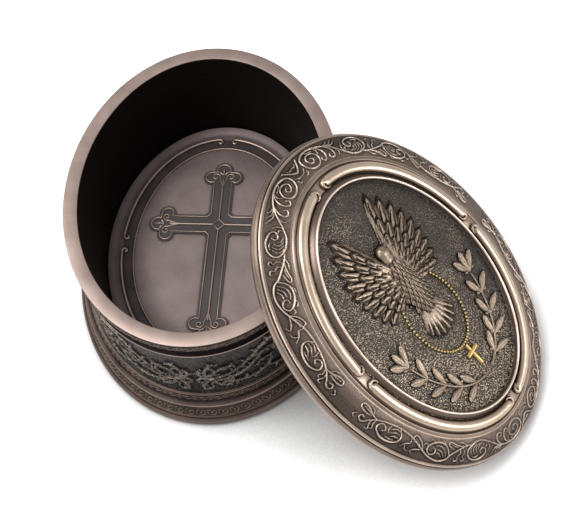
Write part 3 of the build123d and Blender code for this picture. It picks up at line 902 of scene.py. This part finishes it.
VINE_LENGTH, VINE_WIDTH = 66.6, 6.4         # a quarter of the band, and inset -0.7 to 5.7
vine = Carving(VINE_LENGTH, VINE_WIDTH, cell=0.06)
LINE, FINE = (0.34, 0.46, 0.42, 0.3), (0.22, 0.32, 0.2)
for line in (
    ((0.0, 3.2), (1.2, 2.4), (2.2, 1.2), (2.9, 0.2)),
    ((18.4, 5.1), (16.6, 4.3), (14.2, 2.6), (11.2, 1.1), (8.0, 0.35), (5.2, 0.5), (3.3, 1.5),
     (2.9, 3.1), (3.8, 4.8), (5.8, 5.5), (7.8, 4.9), (8.5, 3.2), (7.4, 1.7), (5.6, 1.6), (4.6, 2.7),
     (5.1, 3.8), (6.2, 4.0), (6.7, 3.2), (6.1, 2.7)),
    ((9.4, 0.8), (10.6, 2.2), (10.8, 4.0), (9.8, 5.2), (8.9, 4.7), (9.3, 3.9)),
    ((12.0, 1.5), (13.4, 3.0), (13.7, 4.5), (12.8, 5.3), (11.8, 4.9), (12.1, 4.0)),
    ((16.6, 4.3), (19.5, 5.5), (22.5, 5.2), (24.7, 3.7), (24.9, 2.0), (23.4, 0.7), (21.0, 0.5),
     (18.9, 1.5), (18.6, 2.8), (19.8, 3.4), (20.6, 2.7), (20.2, 1.9)),
    ((24.0, 4.9), (26.0, 4.6), (28.4, 3.7), (30.8, 2.5), (32.4, 1.1), (35.0, 0.5), (38.0, 1.2),
     (41.0, 2.8), (43.8, 4.3), (46.8, 5.1), (50.2, 5.2), (53.6, 4.8), (56.6, 3.9), (58.6, 2.7),
     (59.6, 1.7), (60.6, 1.4), (61.4, 2.0), (61.0, 2.8), (60.2, 2.6)),
    ((26.4, 4.5), (28.8, 5.0), (31.0, 5.7), (31.6, 4.9), (29.8, 3.9)),
    ((31.4, 2.0), (32.0, 4.0), (33.6, 5.2), (36.0, 5.2), (38.2, 4.2), (38.9, 2.8), (37.8, 1.8),
     (36.4, 2.3), (36.2, 3.4), (37.0, 3.6)),
    ((40.2, 2.5), (41.2, 4.3), (43.2, 5.4), (44.0, 4.5)),
    ((48.8, 5.0), (47.8, 3.6), (48.4, 2.0), (50.6, 1.0), (53.6, 1.0), (55.6, 2.3), (55.2, 3.7),
     (53.8, 4.0), (53.0, 3.1), (53.8, 2.5)),
    ((56.6, 3.9), (58.6, 4.4), (60.6, 5.3), (62.4, 5.3), (62.6, 4.3), (61.0, 3.8), (58.8, 3.9)),
):
    vine.stroke(through(*line), LINE, 0.34)
for line in (
    ((0.0, 1.2), (0.9, 1.5), (1.7, 0.9)), ((0.0, 4.4), (1.2, 4.3), (2.2, 3.4)),
    ((2.2, 4.4), (2.0, 5.3), (1.2, 5.2)), ((6.2, 0.5), (6.4, 1.0), (8.2, 1.2)),
    ((8.6, 0.5), (9.4, 1.6), (9.0, 2.9)), ((12.6, 1.7), (14.8, 1.8), (16.6, 0.3)),
    ((12.6, 1.5), (14.2, 1.4), (15.2, 0.3)), ((12.2, 1.3), (13.4, 1.0), (13.9, 0.3)),
    ((14.2, 2.6), (15.4, 4.2), (15.0, 5.2)), ((17.2, 4.6), (17.0, 3.2), (17.6, 2.0)),
    ((17.8, 4.6), (17.9, 3.6), (18.6, 3.4)), ((22.6, 4.9), (23.9, 3.6), (23.3, 2.0)),
    ((21.6, 4.9), (23.0, 3.6), (22.5, 2.0)), ((20.6, 4.8), (22.0, 3.8), (21.7, 2.4)),
    ((19.6, 4.8), (20.9, 4.1), (21.0, 3.2)), ((23.2, 1.4), (22.2, 1.2), (21.4, 1.5)),
    ((26.6, 4.3), (26.2, 3.0), (26.9, 1.9)), ((26.9, 1.9), (26.2, 1.2), (26.9, 0.7), (27.4, 1.3)),
    ((27.6, 3.9), (27.6, 2.8), (28.6, 2.0)), ((28.6, 2.0), (28.6, 1.0), (29.6, 0.8), (29.6, 1.6)),
    ((28.2, 4.4), (29.6, 4.7), (30.8, 5.2)), ((25.4, 4.9), (26.8, 5.6), (28.2, 5.5)),
    ((32.4, 1.9), (33.2, 3.7), (34.8, 4.4), (36.2, 4.1)), ((33.2, 1.8), (34.0, 3.0), (35.4, 3.4)),
    ((34.0, 1.6), (34.8, 2.4), (35.8, 2.5)), ((33.0, 4.9), (33.4, 5.7), (34.4, 5.8)),
    ((36.4, 5.1), (37.4, 5.6), (38.4, 5.1)), ((38.6, 3.9), (39.6, 4.3), (40.2, 3.6)),
    ((41.4, 2.8), (42.6, 3.6), (43.8, 3.8)), ((41.2, 2.9), (42.0, 4.0), (43.2, 4.6)),
    ((40.6, 2.3), (42.4, 2.0), (43.8, 1.2), (43.0, 0.6)),
    ((44.4, 4.3), (44.6, 3.0), (46.0, 2.4), (47.2, 1.2)), ((46.0, 2.4), (45.6, 1.2), (44.8, 0.8)),
    ((48.6, 4.4), (49.8, 4.6), (51.4, 4.0)), ((48.4, 3.6), (49.8, 3.7), (51.4, 3.0)),
    ((48.6, 2.8), (50.0, 2.7), (51.2, 2.0)), ((49.8, 1.8), (51.0, 1.6), (52.2, 1.6)),
    ((51.8, 4.6), (52.2, 3.6), (51.8, 2.8)), ((56.6, 3.7), (57.0, 2.6), (56.6, 1.6), (57.4, 1.2)),
    ((57.8, 3.2), (58.0, 2.2), (57.6, 0.8), (58.6, 0.7)), ((59.0, 4.3), (60.4, 4.6), (61.8, 4.8)),
    ((58.2, 4.6), (58.6, 5.5), (59.6, 5.6)), ((62.4, 2.4), (63.2, 1.6), (62.4, 1.0)),
):
    vine.stroke(through(*line), FINE, 0.26)
vine_band = carved_band(
    "vine_band", [(-0.78, 5.22), (-0.5, 5.38), (0.8, 6.13), (2.0, 6.78), (4.0, 7.53), (5.5, 7.93)],
    1760, 46, vine, repeats=4, mirrored=True, margin=0.15, back=0.3, start=0.25,
)
lean(vine_band, slot="antique_bronze")


def vine_wear_and_shade(paint):
    """Thin rubbed lines on a dark ground that clears towards the middle of the lid; the ground is
    painted lighter in the open and darker beside the lines, as patina and painted shade.
    """
    line = (carved_height(paint) * 1.5).limited()
    clearing = ((flat_place(paint)[2] - 6.3) / 1.5).limited()
    lit_open_places = (patina_and_shade_in_recesses(paint, 0.5) ** 3) * 0.22
    rubbed = line * (0.6 - clearing * 0.2)
    return 0.02 + lit_open_places + clearing * 0.26 + rubbed - patina_and_shade_beside_strokes(paint) * 0.6


vine_band.data.materials.append(bronze(
    "vine_bronze", colour(36, 32, 30), colour(126, 110, 100), colour(226, 206, 188), vine_wear_and_shade,
    rough=0.36, grain_mm=0.4, grain_depth=0.03, speckle=0.4,
))


# ==== Ribs round the plaque ====================================================
# Four thick half-round bars, cast with the lid. Each keeps its width almost to its
# ends, where it narrows and hooks back towards the plaque round a small eye.
RIB_OUTER, RIB_WIDTH, RIB_HEIGHT, RIB_GAP, HOOK = 7.5, 3.0, 1.25, 6.2, 1.85


def left_of(path):
    """Unit directions to the left of a path, one at each of its places."""
    ahead = np.gradient(path, axis=0)
    ahead /= np.linalg.norm(ahead, axis=1, keepdims=True)
    return np.stack((-ahead[:, 1], ahead[:, 0]), axis=1)


def half_round(name, path, widths, heights, seat, across=14):
    """A bar whose section is a low round arch, along a path on a flat seat."""
    path = np.array(path, dtype=float)
    turns = np.linspace(0, math.pi, across)
    reach = np.r_[np.cos(turns), 0.0]
    rise = np.r_[np.sin(turns) ** 0.8, -0.12]
    places = np.zeros((len(path), across + 1, 3))
    aside = reach * np.array(widths)[:, None] / 2
    places[:, :, :2] = path[:, None] + left_of(path)[:, None] * aside[:, :, None]
    places[:, :, 2] = seat + rise * np.array(heights)[:, None]
    places = np.concatenate((places, places[:, :1]), axis=1)
    for end in (0, -1):
        places[end] = places[end].mean(axis=0)
    return closed_shell(name, places)


def hooked_bar(quarter):
    """Middle line of one bar with both its hooks, and how wide and high the bar is along it."""
    run = np.array(quarter_arc(RIB_OUTER, quarter, RIB_GAP, 120))
    ends = []
    for here, before, hand in ((run[0], run[1], -1), (run[-1], run[-2], 1)):
        ahead = (here - before) / np.linalg.norm(here - before)
        inward = hand * np.array((-ahead[1], ahead[0]))
        centre = here + HOOK * inward
        hook_edge = []
        for turn in range(8, 217, 8):
            reach = HOOK * (1 - 0.16 * (turn / 216) ** 2)
            angle = math.radians(turn)
            hook_edge.append(centre + reach * (math.sin(angle) * ahead - math.cos(angle) * inward))
        ends.append(hook_edge)
    edge = np.array(ends[0][::-1] + list(run) + ends[1])
    lengths = distances(edge)
    from_end = np.minimum(lengths, lengths[-1] - lengths)
    wide = np.interp(from_end, (0, 0.2, 2.0, 4.6, 5.8, 7.2), (0.4, 0.75, 0.95, 1.15, 2.0, RIB_WIDTH))
    high = np.interp(wide, (0.4, 1.0, RIB_WIDTH), (0.5, 1.1, RIB_HEIGHT))
    return edge + left_of(edge) * wide[:, None] / 2, wide, high


# The bars are darker down their flanks towards the seat: painted shade, with patina in the corner.
rib_paint = bronze(
    "rib_bronze", colour(52, 42, 36), colour(152, 130, 114), colour(246, 224, 200),
    lambda paint: (patina_and_shade_in_recesses(paint, 2.2) ** 2) * 0.78, rough=0.27,
)
for quarter in range(4):
    rib = half_round(f"lid_bar_{quarter + 1}", *hooked_bar(quarter), SEAT)
    lean(rib, f"lid_rib_{quarter + 1}", slot="rubbed_bronze")
    rib.data.materials.append(rib_paint)


# ==== Plaque ===================================================================
# An oval casting let into the lid: a hollow slope, a thin bright lip, and inside it a
# sunk ground that was stippled with a punch.
GROUND = 8.5
LIP_TOP = 10.4
plaque = oval_casting(
    "plaque",
    soft_corners([
        (PLAQUE_INSET + 0.05, PLAQUE_UNDERSIDE), (PLAQUE_INSET + 0.05, SEAT), (10.8, 8.72),
        (11.3, 9.25), (11.75, 9.66), (11.98, 9.8), (12.1, 10.2), (12.22, LIP_TOP), (12.52, LIP_TOP),
        (12.68, 10.2), (12.95, 8.9), (13.15, GROUND), (15.1, GROUND),
    ], reach=0.14),
    capped=True,
)
lean(plaque, "lid_plaque", slot="dark_bronze")


def plaque_paint():
    """The lip is rubbed bright, its hollow slope is satin, and the ground has golden specks; both are
    darkened near the relief and in recesses by patina and painted shade.
    """
    paint = Paint(bpy.data.materials.new("plaque_bronze"), metallic=0.9)
    x, y, z = flat_place(paint)
    ground = ((8.95 - z) * 4).limited()
    lip = ((z - 9.85) * 5).limited()
    pits = paint.node(
        "ShaderNodeTexVoronoi", {"feature": "F1"}, {"Vector": paint.place(), "Scale": 1 / (0.44 * MM)}
    )
    fine = paint.noise(0.45, 2.0)
    cloud = paint.noise(11.0, 2.0)
    speck = ((0.66 - pits) * 2.4 + (fine - 0.5) * 1.6).limited()
    # The specks are made brighter towards one side of the plaque, falling with x and y.
    golden = (0.42 - x * 0.014 - y * 0.012 + (cloud - 0.5) * 1.4).limited()
    plaque_patina_and_shade = (patina_and_shade_in_recesses(paint, 2.2) - 1) * 0.5
    stipple = paint.ramp(
        (0.18 + speck * (0.22 + 0.56 * golden) + plaque_patina_and_shade).limited(),
        (0.0, colour(24, 24, 24)), (0.35, colour(98, 91, 85)), (1.0, colour(232, 210, 184)),
    )
    satin = paint.ramp(
        (0.34 + lip * 0.62 + (fine - 0.5) * 0.16 + plaque_patina_and_shade * 0.6).limited(),
        (0.0, colour(40, 32, 28)), (0.5, colour(146, 126, 114)), (1.0, colour(250, 232, 216)),
    )
    paint.feed(
        base_color=paint.mix(ground, satin, stipple),
        roughness=0.34 + ground * 0.12,
        normal=paint.bumped(speck * ground, 0.2),
    )
    return paint.material


plaque.data.materials.append(plaque_paint())


# ==== Dove =====================================================================
# A dove with spread wings in low relief, cast with the plaque: rows of feathers
# overlap from the leading edge of each wing, under a smooth body.
# The relief is lighter on open faces and dark where feathers and leaves overlap, as patina and painted
# shade.
relief_paint = bronze(
    "relief_bronze", colour(30, 25, 22), colour(122, 106, 92), colour(232, 210, 186),
    lambda paint: 0.02 + (patina_and_shade_in_recesses(paint, 0.8) ** 1.6) * 0.62,
    rough=0.34, grain_mm=0.55, grain_depth=0.05, speckle=0.5,
)


def vane(name, outline, barbs, shaft):
    """One unit feather or leaf along +X: domed, with a shaft, fine barbs and a given outline."""
    bpy.ops.object.select_all(action="DESELECT")
    bpy.ops.mesh.primitive_grid_add(x_subdivisions=30, y_subdivisions=10, size=1)
    piece = bpy.context.object
    piece.name = name
    for vertex in piece.data.vertices:
        share, across = vertex.co.x + 0.5, vertex.co.y * 2
        wide = outline(share)
        slant = barbs * math.sin((share * 11 - abs(across) * 1.6) * 2 * math.pi) * (1 - across**4)
        middle = shaft * math.exp(-((across * wide / 0.16) ** 2))
        dome = 0.8 * (1 - abs(across) ** 2.4) + slant + middle
        vertex.co = (share * MM, across * wide / 2 * MM, dome * MM)
    bpy.ops.object.modifier_add(type="SOLIDIFY")
    piece.modifiers[0].thickness = 0.4 * MM
    piece.modifiers[0].offset = -1
    bpy.ops.object.modifier_apply(modifier=piece.modifiers[0].name)
    bpy.ops.object.shade_smooth()
    return piece


def laid(pattern, x, y, heading, scale, lift, tilt=0.0, hand=1):
    """A copy of a piece, with its own mesh, laid on the plaque; hand -1 mirrors it to the left."""
    copy = pattern.copy()
    copy.data = pattern.data.copy()
    bpy.context.collection.objects.link(copy)
    long, wide, high = scale
    copy.matrix_world = (
        Matrix.Translation(Vector((hand * x, y, lift)) * MM)
        @ Matrix.Rotation(math.radians(heading if hand > 0 else 180 - heading), 4, "Z")
        @ Matrix.Rotation(math.radians(tilt), 4, "Y")
        @ Matrix.Diagonal((long, hand * wide, high, 1))
    )
    return copy


def joined(name, copies):
    """Joins copies into one piece at the origin."""
    bpy.ops.object.select_all(action="DESELECT")
    for copy in copies:
        copy.select_set(True)
    bpy.context.view_layer.objects.active = copies[0]
    bpy.ops.object.transform_apply(location=True, rotation=True, scale=True)
    bpy.ops.object.join()
    piece = bpy.context.object
    piece.name = name
    return piece


def feather_edge(share):
    """How wide a feather is at a share of its length: it widens fast and ends round."""
    return min(1.0, 0.3 + share * 2.2) * (1 - share**7) ** 0.5 + 0.03


plume = vane("plume", feather_edge, barbs=0.05, shaft=0.2)
WING_LENGTH = 19.3
for side, hand in (("right", 1), ("left", -1)):
    copies = []
    for count, longest, wide, lift, first, sweep, shorten in (
        (9, WING_LENGTH, 4.2, 0.0, 68, 84, 0.42),
        (8, 0.66 * WING_LENGTH, 3.8, 0.35, 67, 82, 0.42),
        (7, 0.42 * WING_LENGTH, 3.2, 0.65, 66, 78, 0.38),
        (5, 0.24 * WING_LENGTH, 2.8, 0.9, 62, 70, 0.30),
    ):
        for number in range(count):
            share = number / (count - 1)
            copies.append(laid(
                plume, 2.0 - 0.2 * share, 11.3 - 6.3 * share, first - sweep * share,
                (longest * (1 - shorten * share), wide, 0.5), GROUND + lift + 0.05 * (count - number),
                tilt=1.6, hand=hand,
            ))
    shares = np.linspace(0, 1, 10)
    arm = half_round(
        "arm",
        [
            (hand * (1.0 + 5.2 * share), 9.8 + 9.6 * share + 1.1 * math.sin(math.pi * share))
            for share in shares
        ],
        np.linspace(3.0, 1.1, 10), np.linspace(1.9, 0.9, 10), GROUND,
    )
    wing = joined(f"wing_{side}", copies + [arm])
    lean(wing, f"dove_wing_{side}", slot="rubbed_bronze")
    wing.data.materials.append(relief_paint)

copies = []
for number in range(7):
    share = number / 6 - 0.5
    copies.append(laid(
        plume, 1.4 * share, -1.5, -90 + 62 * share, (11.2 - 6 * share**2, 3.1, 0.55),
        GROUND + 0.1 + 0.3 * (1 - 2 * abs(share)),
    ))
tail = joined("tail", copies)

LUMPS = (                           # middle (x, y, z) and radii (x, y, z) of each
    (0, 4.5, 0.3, 3.4, 8.6, 1.7), (0, 10.5, 0.55, 2.7, 5.0, 1.6), (0.1, 14.0, 0.75, 1.9, 3.2, 1.5),
    (0.3, 16.2, 0.85, 2.05, 2.2, 1.65), (0, -2.5, 0.2, 2.2, 4.6, 1.1),
)


def back(x, y):
    """Height of the dove's back above the ground, or 0 beside it."""
    return max(
        z + rz * math.sqrt(max(0.0, 1 - ((x - mid_x) / rx) ** 2 - ((y - mid_y) / ry) ** 2))
        if math.hypot((x - mid_x) / rx, (y - mid_y) / ry) < 1 else 0.0
        for mid_x, mid_y, z, rx, ry, rz in LUMPS
    )


scales = []
for row in range(11):
    for column in range(-3, 4):
        x, y = 1.05 * (column + 0.5 * (row % 2)), 13.0 - 1.5 * row
        if back(x, y) > 0.7:
            lift = GROUND + (back(x, y) + back(x, y - 2.0)) / 2 - 0.1
            scales.append(laid(plume, x, y, -90 + 9 * x, (2.9, 1.45, 0.42), lift))
lumps = []
for x, y, z, rx, ry, rz in LUMPS:
    bpy.ops.object.select_all(action="DESELECT")
    bpy.ops.mesh.primitive_uv_sphere_add(
        segments=40, ring_count=24, radius=MM, location=(x * MM, y * MM, (GROUND + z) * MM)
    )
    bpy.context.object.scale = (rx, ry, rz)
    lumps.append(bpy.context.object)
bpy.ops.object.select_all(action="DESELECT")
bpy.ops.mesh.primitive_cone_add(
    vertices=24, radius1=0.8 * MM, radius2=0.1 * MM, depth=2.8 * MM,
    location=(2.5 * MM, 17.1 * MM, (GROUND + 0.9) * MM),
    rotation=(math.radians(-90), 0, math.radians(-62)),
)
lumps.append(bpy.context.object)
body = joined("dove", lumps)
for kind, settings in (
    ("REMESH", {"mode": "VOXEL", "voxel_size": 0.2 * MM}), ("SMOOTH", {"iterations": 7}),
):
    bpy.ops.object.modifier_add(type=kind)
    for setting, value in settings.items():
        setattr(body.modifiers[0], setting, value)
    bpy.ops.object.modifier_apply(modifier=body.modifiers[0].name)
bpy.ops.object.shade_smooth()
eye = half_round(
    "eye", [(0.95, 16.75), (1.2, 16.8), (1.45, 16.75)], (0.5, 0.6, 0.5), (0.2, 0.25, 0.2), GROUND + 2.2
)
dove = joined("dove_and_tail", [body, tail, eye] + scales)
lean(dove, "dove_body", slot="rubbed_bronze")
dove.data.materials.append(relief_paint)


# ==== Olive sprays =============================================================
# A curved stem with paired leaves and small olives, one each side of the plaque.
# Both are cast with it, and its stippled ground shows between the leaves.
def leaf_edge(share):
    """How wide a leaf is at a share of its length: widest before the middle, pointed at the end."""
    return share**0.7 * (1 - share**2.6) ** 0.8 * 1.7 + 0.03


leaf = vane("leaf", leaf_edge, barbs=0.02, shaft=-0.28)
STEM_X, STEM_Y = 19.4, 30.0         # radii of the oval that the stems follow
STEM_FIRST, STEM_SWEEP, PAIRS = -85.0, 70.0, 5
bpy.ops.object.select_all(action="DESELECT")
bpy.ops.mesh.primitive_uv_sphere_add(segments=12, ring_count=8, radius=1)
bead = bpy.context.object
bead.name = "bead"
bpy.ops.object.shade_smooth()


def stem_place(share):
    """Place on the right stem, and its heading there in degrees."""
    turn = math.radians(STEM_FIRST + STEM_SWEEP * share)
    heading = math.degrees(math.atan2(STEM_Y * math.cos(turn), -STEM_X * math.sin(turn)))
    return STEM_X * math.cos(turn), STEM_Y * math.sin(turn), heading


for side, hand in (("right", 1), ("left", -1)):
    run = [stem_place(share) for share in np.linspace(0, 0.97, 40)]
    copies = [half_round(
        f"stem_{side}", [(hand * x, y) for x, y, _ in run],
        np.linspace(0.95, 0.6, 40), np.linspace(0.6, 0.4, 40), GROUND,
    )]
    for number in range(PAIRS):
        x, y, heading = stem_place((number + 0.85) / PAIRS)
        for swing in ((36, -36, 0) if number == PAIRS - 1 else (36, -36)):
            copies.append(laid(
                leaf, x, y, heading + swing, (6.6, 2.6, 0.6), GROUND + 0.05, tilt=-3.0, hand=hand
            ))
        for swing, away in ((70, 1.5), (-64, 1.7)):
            aim = math.radians(heading + swing)
            copies.append(laid(
                bead, hand * (x + away * math.cos(aim)), y + away * math.sin(aim), 0,
                (0.62 * MM, 0.5 * MM, 0.5 * MM), GROUND + 0.3,
            ))
    spray = joined(f"olive_spray_{side}_leaves", copies)
    lean(spray, f"olive_spray_{side}", slot="rubbed_bronze")
    spray.data.materials.append(relief_paint)


# ==== String of beads with its small cross =====================================
# The string hangs in a loop behind the dove's tail, with a small cross at its lowest
# bead. Both are cast with the plaque and picked out in gold paint.
SWAG_X, SWAG_Y, SWAG_MIDDLE = 9.5, 13.0, -6.0       # radii of the string's curve, and its middle
beads = joined("beads", [
    laid(
        bead, SWAG_X * math.cos(turn), SWAG_MIDDLE + SWAG_Y * math.sin(turn), 0, (0.38 * MM,) * 3,
        GROUND + 0.35,
    )
    for turn in np.radians(np.linspace(146, 394, 48))
])
lean(beads, "bead_swag", slot="gold_paint")
pendant = raised_lines(
    "pendant",
    [([(0, -19.6), (0, -26.8)], (0.9, 1.0, 1.3)), ([(-2.4, -22.3), (2.4, -22.3)], (1.3, 0.9, 1.3))],
    width=1.1, height=0.7, seat=GROUND + 0.1,
)
lean(pendant, "pendant_cross", slot="gold_paint")
gold = Paint(bpy.data.materials.new("gold_paint"), metallic=0.95)
rub = gold.noise(1.2, 3.0)
# The gold is painted darker between the beads and round the cross: painted shade.
gold.feed(
    base_color=gold.mix(patina_and_shade_in_recesses(gold, 0.8) ** 2, colour(112, 84, 46), colour(232, 200, 132)),
    roughness=0.3 + 0.15 * rub,
    normal=gold.bumped(rub, 0.01),
)
beads.data.materials.append(gold.material)
pendant.data.materials.append(gold.material)
for pattern in (plume, leaf, bead):
    bpy.data.objects.remove(pattern)


# ==== Table, lights and camera =================================================
# A plain white table that runs on past the view, and four soft lamps round the object.
# Seen directly the table is white, and its colour is darkened by a painted contact shadow close round
# what stands on it.
bpy.ops.object.select_all(action="DESELECT")
bpy.ops.mesh.primitive_plane_add(size=6.0)
table = bpy.context.object
table.name = "table"
table_paint = Paint(bpy.data.materials.new("table_white"), roughness=0.9)
seen = table_paint.node("ShaderNodeLightPath", output="Is Camera Ray")
# Painted shadow: the table's colour falls where the box and lid hide it from the open.
shade = table_paint.mix(patina_and_shade_in_recesses(table_paint, 55) ** 2, (0.15, 0.15, 0.15, 1), (1.9, 1.9, 1.9, 1))
table_paint.feed(base_color=table_paint.mix(seen, (0.9, 0.9, 0.9, 1), shade))
table.data.materials.append(table_paint.material)

scene = bpy.context.scene
scene.view_settings.view_transform = "Standard"
scene.world = bpy.data.worlds.new("studio")
studio = Paint(scene.world, "Background", color=(1, 1, 1, 1))
seen = studio.node("ShaderNodeLightPath", output="Is Camera Ray")
studio.feed(strength=0.55 + 0.45 * seen)

FOCUS, LAMP_DISTANCE = Vector((0.02, -0.01, 0.02)), 0.8
for name, direction, size, watts in (
    ("overhead_softbox", (-0.34, -0.1, 0.94), 0.3, 2.6),
    ("left_softbox", (-0.85, 0.1, 0.5), 0.45, 2.8),
    ("front_left_softbox", (-0.55, -0.75, 0.5), 0.35, 1.6),
    ("right_strip", (0.95, -0.15, 0.4), 0.3, 1.7),
):
    lamp = bpy.data.lights.new(name, "AREA")
    lamp.size = size
    lamp.energy = watts
    holder = bpy.data.objects.new(name, lamp)
    bpy.context.collection.objects.link(holder)
    direction = Vector(direction).normalized()
    holder.location = FOCUS + direction * LAMP_DISTANCE
    holder.rotation_euler = direction.to_track_quat("Z", "Y").to_euler()

FOCAL_LENGTH, VIEW_WIDTH = 1099.18, 588             # both in pixels
camera = bpy.data.cameras.new("camera")
camera.sensor_width = 36.0
camera.lens = FOCAL_LENGTH * camera.sensor_width / VIEW_WIDTH
camera_holder = bpy.data.objects.new("camera", camera)
bpy.context.collection.objects.link(camera_holder)
right = Vector((0.99582, 0.06398, -0.06523))
up = Vector((-0.02480, 0.87642, 0.48091))
camera_holder.matrix_world = (
    Matrix.Translation(Vector((54.334, -166.207, 307.035)) * MM)
    @ Matrix((right, up, right.cross(up))).transposed().to_4x4()
)
scene.camera = camera_holder
